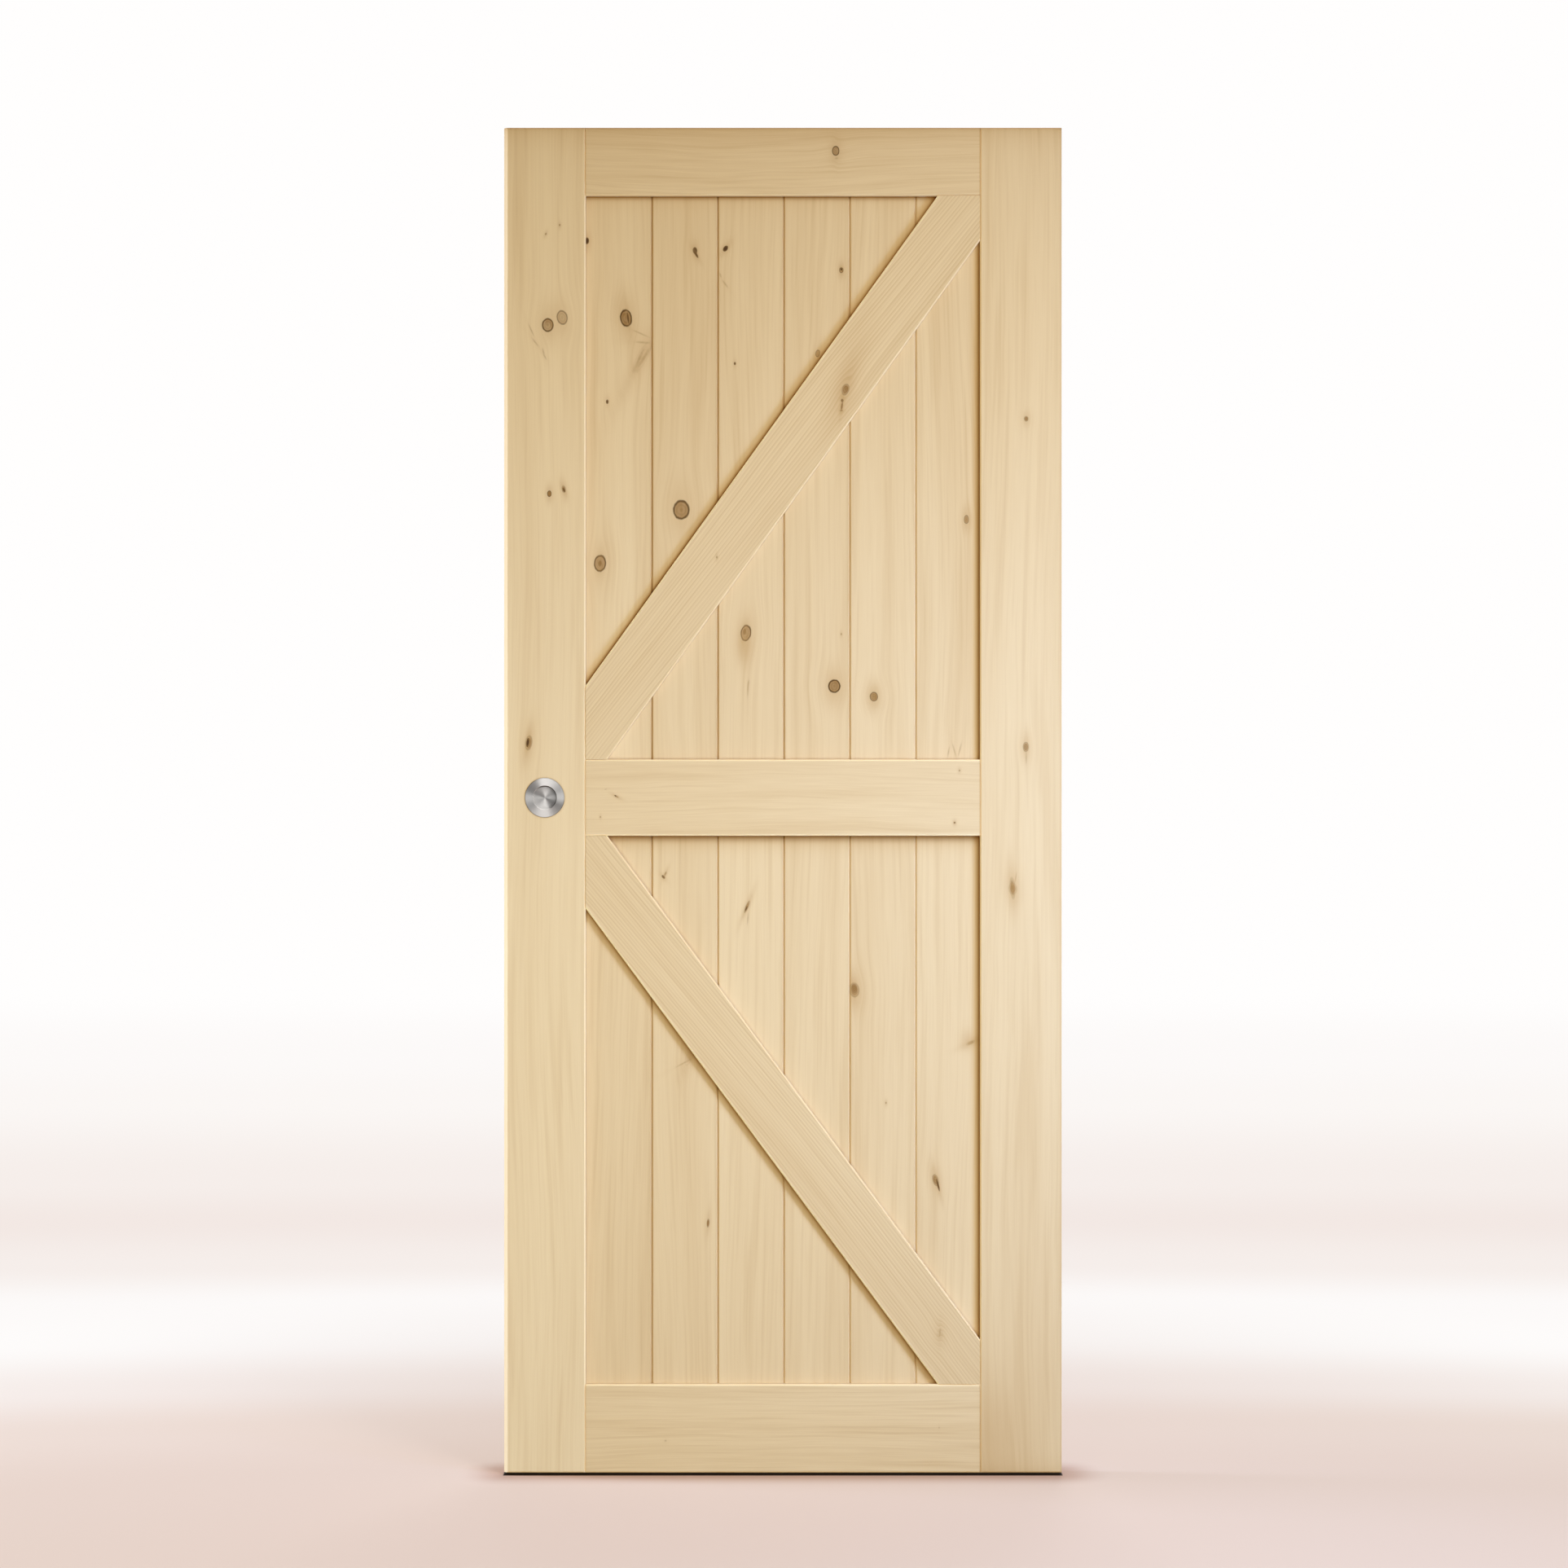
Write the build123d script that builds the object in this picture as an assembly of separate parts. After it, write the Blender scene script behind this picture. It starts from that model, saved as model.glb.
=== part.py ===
from build123d import *
import math
import os

# Sliding barn door leaf in knotty pine. Two stiles and three rails are ploughed to hold tongue-and-groove
# planks, diagonal braces lie flush in both recessed faces as a K, and a round flush pull sits in the left stile.
# Millimetres. The origin is the middle of the top edge, X runs to the right, Y to the back and Z up.

# Leaf
LEAF_WIDTH = 885.0
LEAF_HEIGHT = 2134.0
LEAF_THICKNESS = 35.0

# Stiles and rails
STILE_WIDTH = 129.5
TOP_RAIL_HEIGHT = 107.5
MIDDLE_RAIL_HEIGHT = 121.0
BOTTOM_RAIL_HEIGHT = 140.0
MIDDLE_RAIL_CENTRE = 1071.0  # above the bottom edge
EASED_EDGE = 2.0  # chamfer along the long arrises of frame and braces
LEADING_BEVEL = 6.0  # wider chamfer along the left stile's outer arrises
PLOUGH_DEPTH = 12.0  # groove in the frame's inner edges
TENON_END_GAP = 0.5

# Planks
PLANK_COUNT = 6
PLANK_THICKNESS = 13.0
LAST_PLANK_TRIM = 3.0  # ripped off the right-hand plank to fit the field
PLANK_GAP = 0.3
PLANK_MOVEMENT = 2.0  # room for the wood to swell, at the sides and the top
PLOUGH_CLEARANCE = 0.2  # each side of a plank or tenon in its groove
JOINT_CHAMFER = 2.0  # both edges of a V joint, on both faces
TONGUE_THICKNESS = 4.0
TONGUE_LENGTH = 6.0
TONGUE_CLEARANCE = 0.2

# Braces
BRACE_WIDTH = 96.0
BRACE_HEEL = 34.0  # length bearing on the middle rail, at the left stile
BRACE_HEAD = 67.0  # length bearing on the outer rail, at the right stile
BRACE_END_GAP = 0.3

# Flush pull
PULL_DIAMETER = 63.0
PULL_CUP_DIAMETER = 37.5
PULL_CUP_DEPTH = 9.0  # below the stile's face
PULL_RIM = 1.8  # the flange's height at the cup
PULL_EDGE = 0.8  # the flange's height at its outer edge
PULL_WALL = 1.2
PULL_EASE = 0.5  # chamfer on the flange's two exposed arrises
PULL_BORE_CLEARANCE = 0.3

# Derived sizes
bottom_edge = -LEAF_HEIGHT
face = LEAF_THICKNESS / 2
plank_face = PLANK_THICKNESS / 2
field_width = LEAF_WIDTH - 2 * STILE_WIDTH
field_left = -field_width / 2
field_right = field_width / 2
plough_width = PLANK_THICKNESS + 2 * PLOUGH_CLEARANCE

bottom_rail_top = bottom_edge + BOTTOM_RAIL_HEIGHT
middle_rail_centre = bottom_edge + MIDDLE_RAIL_CENTRE
middle_rail_bottom = middle_rail_centre - MIDDLE_RAIL_HEIGHT / 2
middle_rail_top = middle_rail_centre + MIDDLE_RAIL_HEIGHT / 2
top_rail_bottom = -TOP_RAIL_HEIGHT

pull_x = -(LEAF_WIDTH - STILE_WIDTH) / 2
pull_radius = PULL_DIAMETER / 2
cup_radius = PULL_CUP_DIAMETER / 2


def block(x0, x1, y0, y1, z0, z1):
    """A square-edged solid between two corners."""
    middle = Pos((x0 + x1) / 2, (y0 + y1) / 2, (z0 + z1) / 2)
    return middle * Box(x1 - x0, y1 - y0, z1 - z0)


def panel(x0, x1, y0, y1):
    """A flat rectangle between two corners of a section."""
    return Pos((x0 + x1) / 2, (y0 + y1) / 2) * Rectangle(x1 - x0, y1 - y0)


def eased_ends(piece):
    """Ease the piece where it ends in the leaf's own top and bottom edges."""
    side = panel(-face, face, bottom_edge, 0)
    side = chamfer(side.vertices(), EASED_EDGE)
    return piece & extrude(Plane.YZ * side, LEAF_WIDTH, both=True)


def stile(side, outer_ease):
    """A full-height stile, -1 for the left and 1 for the right, ploughed along its inner edge."""
    outer = side * LEAF_WIDTH / 2
    inner = side * field_width / 2
    section = panel(min(outer, inner), max(outer, inner), -face, face)
    section = chamfer(section.vertices().group_by(Axis.X, reverse=side < 0)[-1], outer_ease)
    section = chamfer(section.vertices().group_by(Axis.X, reverse=side < 0)[0], EASED_EDGE)
    floor = inner + side * PLOUGH_DEPTH
    section -= panel(min(inner, floor), max(inner, floor), -plough_width / 2, plough_width / 2)
    return eased_ends(extrude(Plane.XY.offset(bottom_edge) * section, LEAF_HEIGHT))


def rail(low, high, plough_below, plough_above):
    """A rail between the stiles, ploughed where planks enter it, with a stub tenon at each end."""
    section = panel(-face, face, low, high)
    tenon_low = low
    tenon_high = high
    if plough_below:
        tenon_low = low + PLOUGH_DEPTH
        section = chamfer(section.vertices().group_by(Axis.Y)[0], EASED_EDGE)
        section -= panel(-plough_width / 2, plough_width / 2, low, tenon_low)
    if plough_above:
        tenon_high = high - PLOUGH_DEPTH
        section = chamfer(section.vertices().group_by(Axis.Y)[-1], EASED_EDGE)
        section -= panel(-plough_width / 2, plough_width / 2, tenon_high, high)
    tenon_section = panel(-plank_face, plank_face, tenon_low, tenon_high)
    tenon_reach = field_width / 2 + PLOUGH_DEPTH - TENON_END_GAP
    body = extrude(Plane.YZ * section, field_width / 2, both=True)
    tenons = extrude(Plane.YZ * tenon_section, tenon_reach, both=True)
    return eased_ends(body + tenons)


def plank(number, low, high):
    """One plank of a field, counted from the left. It stands in the lower rail's groove, with room above."""
    pitch = (field_width + LAST_PLANK_TRIM) / PLANK_COUNT
    first = number == 1
    last = number == PLANK_COUNT
    left = field_left + (number - 1) * pitch + PLANK_GAP / 2
    right = field_left + number * pitch - PLANK_GAP / 2
    if first:
        left = field_left - PLOUGH_DEPTH + PLANK_MOVEMENT
    if last:
        right = field_right + PLOUGH_DEPTH - PLANK_MOVEMENT
    section = panel(left, right, -plank_face, plank_face)
    if not first:
        section = chamfer(section.vertices().group_by(Axis.X)[0], JOINT_CHAMFER)
        groove = TONGUE_THICKNESS / 2 + TONGUE_CLEARANCE
        section -= panel(left, left - PLANK_GAP + TONGUE_LENGTH + TONGUE_CLEARANCE, -groove, groove)
    if not last:
        section = chamfer(section.vertices().group_by(Axis.X)[-1], JOINT_CHAMFER)
        section += panel(right, right + TONGUE_LENGTH, -TONGUE_THICKNESS / 2, TONGUE_THICKNESS / 2)
    foot = low - PLOUGH_DEPTH
    head = high + PLOUGH_DEPTH - PLANK_MOVEMENT
    return extrude(Plane.XY.offset(foot) * section, head - foot)


def brace(near, far):
    """The front brace from the middle rail at the left stile to the outer rail at the right stile.

    Its two long edges start at the heel and the head and lie one brace width apart, which sets its slope.
    The board is laid along that slope and cut to the corners of the field.
    """
    run = field_width - BRACE_HEEL - BRACE_HEAD
    rise = abs(far - near)
    slope = math.atan2(rise, run) - math.asin(BRACE_WIDTH / math.hypot(run, rise))
    up = 1 if far > near else -1
    along = Vector(math.cos(slope), 0, up * math.sin(slope))
    inward = Vector(-math.sin(slope), 0, up * math.cos(slope))
    heel = Vector(field_left + BRACE_HEEL, 0, near)
    middle = heel + along * (math.hypot(run, rise) / 2) + inward * (BRACE_WIDTH / 2)
    section = panel(-BRACE_WIDTH / 2, BRACE_WIDTH / 2, plank_face, face)
    section = chamfer(section.vertices().group_by(Axis.Y)[-1], EASED_EDGE)
    lay = Plane(middle, x_dir=inward, z_dir=along * up)
    board = extrude(lay * section, LEAF_HEIGHT, both=True)
    low = min(near, far) + BRACE_END_GAP
    high = max(near, far) - BRACE_END_GAP
    return board & block(field_left + BRACE_END_GAP, field_right - BRACE_END_GAP, -face, face, low, high)


def pull():
    """The front flush pull: a dished flange on the stile's face around a round finger cup."""
    floor = -PULL_CUP_DEPTH
    outline = Polyline(
        (0, floor - PULL_WALL),
        (cup_radius + PULL_WALL, floor - PULL_WALL),
        (cup_radius + PULL_WALL, 0),
        (pull_radius, 0),
        (pull_radius, PULL_EDGE),
        (cup_radius, PULL_RIM),
        (cup_radius, floor),
        (0, floor),
        close=True,
    )
    profile = make_face(outline)
    raised = profile.vertices().filter_by(lambda corner: corner.Y > 0)
    profile = chamfer(raised, PULL_EASE)
    spun = revolve(Plane.XZ * profile, Axis.Z, 360)
    return Pos(pull_x, -face, middle_rail_centre) * Rot(X=90) * spun


def pull_bore():
    """The blind hole that takes the front pull's cup."""
    radius = cup_radius + PULL_WALL + PULL_BORE_CLEARANCE
    depth = PULL_CUP_DEPTH + PULL_WALL + PULL_BORE_CLEARANCE
    hole = Cylinder(radius, 2 * depth)
    return Pos(pull_x, -face, middle_rail_centre) * Rot(X=90) * hole


def on_back(piece):
    """The same piece on the back face, mirrored through the middle of the thickness."""
    return mirror(piece, about=Plane.XZ)


pieces = {
    "left_stile": stile(-1, LEADING_BEVEL) - pull_bore() - on_back(pull_bore()),
    "right_stile": stile(1, EASED_EDGE),
    "top_rail": rail(top_rail_bottom, 0, True, False),
    "middle_rail": rail(middle_rail_bottom, middle_rail_top, True, True),
    "bottom_rail": rail(bottom_edge, bottom_rail_top, False, True),
    "front_upper_brace": brace(middle_rail_top, top_rail_bottom),
    "front_lower_brace": brace(middle_rail_bottom, bottom_rail_top),
    "front_pull": pull(),
}
for name in ("upper_brace", "lower_brace", "pull"):
    pieces["back_" + name] = on_back(pieces["front_" + name])
for number in range(1, PLANK_COUNT + 1):
    pieces[f"upper_plank_{number}"] = plank(number, middle_rail_top, top_rail_bottom)
    pieces[f"lower_plank_{number}"] = plank(number, bottom_rail_top, middle_rail_bottom)

os.makedirs("parts", exist_ok=True)
for name, piece in pieces.items():
    export_step(piece, f"parts/{name}.step")
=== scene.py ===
import math
import random
from collections import namedtuple

import bmesh
import bpy
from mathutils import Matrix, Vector


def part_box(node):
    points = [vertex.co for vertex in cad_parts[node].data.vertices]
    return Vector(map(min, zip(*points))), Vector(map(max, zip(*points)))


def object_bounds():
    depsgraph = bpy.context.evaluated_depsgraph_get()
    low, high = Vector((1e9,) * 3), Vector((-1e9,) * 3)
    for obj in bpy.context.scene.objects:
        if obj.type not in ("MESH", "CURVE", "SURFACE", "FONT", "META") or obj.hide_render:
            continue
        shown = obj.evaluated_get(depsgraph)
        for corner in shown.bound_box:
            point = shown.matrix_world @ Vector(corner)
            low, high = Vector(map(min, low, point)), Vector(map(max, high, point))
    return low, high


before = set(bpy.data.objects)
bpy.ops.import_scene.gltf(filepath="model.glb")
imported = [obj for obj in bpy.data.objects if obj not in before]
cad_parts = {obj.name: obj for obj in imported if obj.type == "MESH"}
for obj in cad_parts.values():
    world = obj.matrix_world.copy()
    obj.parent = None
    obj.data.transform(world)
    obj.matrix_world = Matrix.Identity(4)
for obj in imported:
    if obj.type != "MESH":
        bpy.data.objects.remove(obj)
cad_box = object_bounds()
leaf_low, leaf_high = cad_box

# The photograph's frame: pixel size at the leaf's face, and where the leaf's top edge and middle lie in it
FRAME_PIXELS = 1925
PIXEL = 0.0012918
LEAF_MIDDLE_PX = 961.05
LEAF_TOP_PX = 156.4
CAMERA_DISTANCE = 5.0
SENSOR_WIDTH = 36.0  # millimetres, as the camera counts them
VIEW_END = 60.0

# Layout of the leaf that the shading follows
EASED_EDGE = 0.002
JOINT_HALF_GAP = 0.00015
PLANK_COUNT = 6
BRACE_HEAD = 0.067
BRACE_LEAN = {"upper": math.radians(35.75), "lower": math.radians(36.5)}
GRAIN_LEAN = math.radians(2.5)  # a brace's grain leans a little from its edges
FIELD_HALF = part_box("right_stile")[0].x
MIDDLE_RAIL_LOW, MIDDLE_RAIL_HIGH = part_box("middle_rail")
FIELDS = {
    "upper": (MIDDLE_RAIL_HIGH.z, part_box("top_rail")[0].z),
    "lower": (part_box("bottom_rail")[1].z, MIDDLE_RAIL_LOW.z),
}
PULL_LOW, PULL_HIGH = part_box("front_pull")
PULL_CENTRE = (PULL_LOW + PULL_HIGH) / 2
PULL_RADIUS = (PULL_HIGH.x - PULL_LOW.x) / 2

# Pine colours, linear
EARLYWOOD = (0.810, 0.640, 0.412, 1)
LATEWOOD = (0.600, 0.410, 0.205, 1)
# Arrises: paler cut wood, and paler still as a painted highlight
ARRIS_HIGHLIGHT = (1.0, 0.800, 0.500, 1)
STAIN = (0.560, 0.350, 0.150, 1)
ARRIS_HIGHLIGHT_FACING = (math.sqrt(0.5), 0.05, 0.20)  # share of front or back in its direction, and bounds round it
UPPER_SHADE = (1, 0.970, 0.890, 1)
UPPER_SHADE_HEIGHTS = (-1.0, -0.1)  # where the painted shade begins, and where it is whole
KNOT_HEART = (0.385, 0.212, 0.072, 1)
KNOT_RING = (0.120, 0.062, 0.020, 1)
KNOT_PITH = (0.070, 0.030, 0.010, 1)
# Added to the tone of boards that are lighter than their neighbours
PALER = {"left_stile": 0.05, "right_stile": 0.02, "front_lower_brace": 0.025, "bottom_rail": 0.015}

# Noise in the wood, in waves per metre across, through and along the grain
DRIFT_WAVES = (5.0, 5.0, 1.3)
RIPPLE_WAVES = (45.0, 30.0, 9.0)
BROAD_WAVES = (22.0, 22.0, 1.0)
STREAK_WAVES = (80.0, 80.0, 2.4)
LINE_WAVES = (240.0, 240.0, 5.0)
FIBRE_WAVES = (700.0, 700.0, 16.0)
PLANED_WAVES = (560.0, 560.0, 7.0)
KNOT_WAVES = (200.0, 200.0, 130.0)
DRIFT_SWAY = 0.050  # metres from side to side
KNOT_WOBBLE = 0.16  # knot radii from side to side
NOISE_SHIFT = 20  # each board is cut from its own place in the noise
STREAK_SPAN = (0.46, 0.76)  # noise that begins to show dark, and noise that is wholly dark
LINE_SPAN = (0.48, 0.78)
LATEWOOD_END = 0.84  # share of a year's ring where its dark line begins to end
BROKEN_SPAN = (0.20, 0.65)  # line noise that breaks up the growth rings, and what it leaves of them
BROKEN_LEAST = 0.3
GREEN_LOSS = 1.45  # how much more green than red a dark streak loses
BLUE_LOSS = 2.1
WOOD_ROUGHNESS = 0.60
LATEWOOD_GLOSS = 0.10
KNOT_GLOSS = 0.12

# A knot's parts, in knot radii, and how they show
HALO_NARROW = (0.55, 0.34)
PUSH_NARROW = (0.22, 0.30)
PUSH_SOFTNESS = 0.6
HEART_END = 1.08
HEART_FIBRE = (0.7, 0.62)
HEART_RINGS = 15.0
HEART_RING_SHADE = 0.25
BARK_BAND = (0.90, 0.03, 0.19)
PITH_SPAN = (0.50, 1.02)

# What painted shade along edges and joints leaves of the light, for each unit of it
PAINTED_SHADE_SHARES = (0.43, 0.29, 0.157)
EDGE_SLACK = 0.003  # how far past its edge painted shade still lies
SHADE_FACING = (0.3, 0.6)  # share of front or back in a face's direction, where painted shade begins and is whole
# Reach and strength of painted shade along edges, or of a painted highlight that leaves them pale where the
# strength is below nought
BRACE_SHADE = (0.0022, 2.20)
STILE_SHADE = (0.0022, 1.60)
RAIL_SHADE = {
    "upper": ((0.0022, 1.40), (0.0120, 0.15)),
    "lower": ((0.0028, 1.20), (0.0100, 0.55)),
}
# Painted shade in the joints between planks, weaker towards the right
JOINT_SHADE_REACH = 0.0011
JOINT_SHADE = {"upper": 0.95, "lower": 0.58}
JOINT_SHADE_LOSS = 0.15  # share lost from each joint to the next, towards the right
# Painted shade along the top edge, the right stile's outer edge and foot, the rail ends and round the pull
TOP_EDGE_SHADE = ((0.0200, 0.18), (0.0020, 0.25))
RIGHT_EDGE_SHADE = (0.0004, 0.22)
FOOT_SHADE = (0.0140, 0.16)
RAIL_END_SHADE = {"left": (0.0006, 0.30), "right": (0.0006, 0.50)}
PULL_SHADE = (0.0009, 0.40)
# Painted highlights along pale edges, and painted light on the left stile growing towards its foot
LEFT_EDGE_HIGHLIGHT = (0.0012, -0.06)
LEFT_FOOT_PAINTED_LIGHT = (0.45, -0.10)
BRACE_HIGHLIGHT = (0.0010, -0.28)
MIDDLE_RAIL_HIGHLIGHT = {"upper": (0.0010, -0.12), "lower": (0.0010, -0.18)}
BOTTOM_RAIL_HIGHLIGHT = (0.0018, -0.10)

# Steel colours, and the radii between which a painted shadow rises and falls in the corner of the pull's cup
STEEL_DARK = (0.56, 0.55, 0.53, 1)
STEEL_LIGHT = (0.78, 0.77, 0.75, 1)
STEEL_ROUGHNESS = (0.08, 0.36)  # what scratches add, and the least
# Painted shadow of the rim in the cup's corner
CUP_SHADOW = (0.10, 0.085, 0.07, 1)
CUP_SHADOW_SIDE = (0.77, 0, 0.64)  # the way to the cup's shaded side
CUP_SHADOW_RISE = (0.0168, 0.0180)
CUP_SHADOW_FALL = (0.0189, 0.0194)
CUP_SHADOW_TURN = (-0.15, 0.45)  # cosine of the turn from that side where it begins, and where it is whole
CUP_SHADOW_STRENGTH = 0.92
# Painted shade along the flange's outer rim
RIM_WIDTH = 0.0016
RIM_SHADE = 0.55
BRUSH_WAVES = (9000.0, 1.2, 1.0)  # across the scratches, and round the pull

# Floor: a lit middle, and its own glow by distance from a place before the leaf, counted less to the sides
FLOOR_GAP = 0.0038
FLOOR_LIT = 0.4
FLOOR_CLEAR = 2.0
FLOOR_END = 14.0
SURROUND_RADIUS = 15.0
FLOOR_COLOR = (0.84, 0.70, 0.63, 1)
# Painted shadow on the floor under the leaf and just before it
NEAR_FLOOR_SHADOW = (0.60, 0.42, 0.34, 1)
CONTACT_SHADOW = (0.004, 0.002, 0.001, 1)
CONTACT_SHADOW_REACH = 0.0025
NEAR_FLOOR_SHADOW_REACH = 0.08
GLOW_REACH = (0.002, 0.10)  # from the leaf, where the glow begins and where it is whole
WHITE = (1, 0.99, 0.985, 1)
GLOW_LEAST = 0.5  # its share in the lit middle
GLOW_PLACE = (0.1, -0.4, 0)
GLOW_STRETCH = (0.3, 1, 1)
FLOOR_TINTS = [
    (0.0, (0.78, 0.63, 0.55, 1)),
    (0.45, (0.80, 0.66, 0.58, 1)),
    (0.8, (0.85, 0.73, 0.66, 1)),
    (1.15, (0.93, 0.865, 0.835, 1)),
    (1.6, (0.99, 0.97, 0.96, 1)),
    (2.05, (0.98, 0.955, 0.945, 1)),
    (2.6, (0.92, 0.855, 0.825, 1)),
    (3.3, (0.895, 0.81, 0.775, 1)),
    (4.1, (0.92, 0.855, 0.825, 1)),
    (6.3, (0.965, 0.93, 0.91, 1)),
    (8.0, (0.975, 0.95, 0.94, 1)),
    (12.0, WHITE),
]

# Warm even light, and the brightness of the room that the metal mirrors, by turn about the view from below by
# left, top and right to below
EVEN_LIGHT = (1, 0.688, 0.30, 1)
EVEN_STRENGTH = 0.35
ROOM_TINT = (1, 0.98, 0.97, 1)
ROOM_MIDDLE = (0.40, 0.40, 0.40, 1)
ROOM_SPAN = (0.05, 0.40)  # off the view's axis, where the walls begin and where they are whole
ROOM = [
    (0.0, 2.4), (0.05, 2.1), (0.12, 0.05), (0.18, 0.1), (0.25, 1.0), (0.32, 0.05), (0.40, 0.05), (0.45, 2.3),
    (0.55, 2.1), (0.66, 1.1), (0.75, 1.7), (0.85, 0.1), (0.93, 1.0), (1.0, 2.4),
]

# A knot's place and size in the photograph's pixels, its lean to the right in degrees, and its kind
Knot = namedtuple("Knot", "x y width height lean kind")
# Strengths of a knot's heart, bark line, stain and pith, where its edge begins to fade, and whether the grain
# bends round it
Kind = namedtuple("Kind", "heart bark stain pith edge bends")
# A point on an edge, the way its painted shade fades, and the shade's reach and strength; the pull's round
# edge has the pull's middle for a point, and None for a way
Edge = namedtuple("Edge", "point way reach strength")
# Noise of each width in a board, and its dark latewood
Grain = namedtuple("Grain", "broad streak line fibre latewood")


def row_point(px, py):
    """A pixel of the photograph as x and z on the leaf's face."""
    return (px - LEAF_MIDDLE_PX) * PIXEL, (LEAF_TOP_PX - py) * PIXEL


def turned(x, z, angle):
    """x and z of the row as across and along of a board."""
    return x * math.cos(angle) + z * math.sin(angle), z * math.cos(angle) - x * math.sin(angle)


class Graph:
    """A node tree with short calls for the nodes used here."""

    def __init__(self, tree):
        self.tree = tree

    def add(self, kind, **settings):
        node = self.tree.nodes.new(kind)
        for name, value in settings.items():
            setattr(node, name, value)
        return node

    def feed(self, socket, value):
        if isinstance(value, bpy.types.NodeSocket):
            self.tree.links.new(value, socket)
        else:
            socket.default_value = value

    def math(self, operation, *values, clamp=False):
        node = self.add("ShaderNodeMath", operation=operation, use_clamp=clamp)
        for socket, value in zip(node.inputs, values):
            self.feed(socket, value)
        return node.outputs[0]

    def vector(self, operation, *values):
        node = self.add("ShaderNodeVectorMath", operation=operation)
        for socket, value in zip(node.inputs, values):
            self.feed(socket, value)
        return node.outputs["Value" if operation in ("LENGTH", "DOT_PRODUCT") else "Vector"]

    def split(self, vector):
        node = self.add("ShaderNodeSeparateXYZ")
        self.feed(node.inputs[0], vector)
        return node.outputs

    def join(self, x, y, z):
        node = self.add("ShaderNodeCombineXYZ")
        for socket, value in zip(node.inputs, (x, y, z)):
            self.feed(socket, value)
        return node.outputs[0]

    def noise(self, vector, waves, detail=2.0, roughness=0.5):
        """Noise from 0 to 1, with its own number of waves along each axis."""
        node = self.add("ShaderNodeTexNoise")
        self.feed(node.inputs["Vector"], self.vector("MULTIPLY", vector, waves))
        node.inputs["Scale"].default_value = 1.0
        node.inputs["Detail"].default_value = detail
        node.inputs["Roughness"].default_value = roughness
        return node.outputs[0]

    def ramp(self, value, low, high, to_low=0.0, to_high=1.0):
        """A smooth step of value between low and high."""
        node = self.add("ShaderNodeMapRange", interpolation_type="SMOOTHSTEP")
        for socket, number in zip(node.inputs, (value, low, high, to_low, to_high)):
            self.feed(socket, number)
        return node.outputs[0]

    def band(self, value, place, inner, outer):
        """1 within inner of the place, falling to 0 at outer."""
        return self.ramp(self.math("ABSOLUTE", self.math("SUBTRACT", value, place)), inner, outer, 1.0, 0.0)

    def bell(self, across, along, narrow):
        """A soft hill over two directions, which is narrower where its factor is larger."""
        place = self.vector("MULTIPLY", self.join(across, along, 0.0), (*narrow, 0.0))
        square = self.vector("DOT_PRODUCT", place, place)
        return self.math("EXPONENT", self.math("MULTIPLY", square, -1.0))

    def stops(self, value, colors, interpolation):
        """A colour ramp through the given places and colours."""
        node = self.add("ShaderNodeValToRGB")
        self.feed(node.inputs[0], value)
        node.color_ramp.interpolation = interpolation
        while len(node.color_ramp.elements) < len(colors):
            node.color_ramp.elements.new(0.5)
        for stop, (place, color) in zip(node.color_ramp.elements, colors):
            stop.position = place
            stop.color = color
        return node.outputs[0]

    def mix(self, amount, first, second, blend="MIX"):
        node = self.add("ShaderNodeMix", data_type="RGBA", blend_type=blend)
        self.feed(node.inputs[0], amount)
        self.feed(node.inputs[6], first)
        self.feed(node.inputs[7], second)
        return node.outputs[2]

    def bump(self, shader, height, strength, distance):
        node = self.add("ShaderNodeBump")
        node.inputs["Strength"].default_value = strength
        node.inputs["Distance"].default_value = distance
        self.feed(node.inputs["Height"], height)
        self.feed(shader.inputs["Normal"], node.outputs[0])


def new_material(name):
    """A node material; returns it, its graph and its shader."""
    material = bpy.data.materials.new(name)
    material.use_nodes = True
    return material, Graph(material.node_tree), material.node_tree.nodes["Principled BSDF"]


def new_group(name, inputs, outputs):
    """An empty node group with the named sockets; returns it, its graph and the sockets of its two ends."""
    tree = bpy.data.node_groups.new(name, "ShaderNodeTree")
    for sockets, direction in ((inputs, "INPUT"), (outputs, "OUTPUT")):
        for socket, kind in sockets.items():
            tree.interface.new_socket(socket, in_out=direction, socket_type="NodeSocket" + kind)
    given = tree.nodes.new("NodeGroupInput").outputs
    made = tree.nodes.new("NodeGroupOutput").inputs
    return tree, Graph(tree), given, made


def dress(node, material):
    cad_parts[node].data.materials.clear()
    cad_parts[node].data.materials.append(material)


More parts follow.
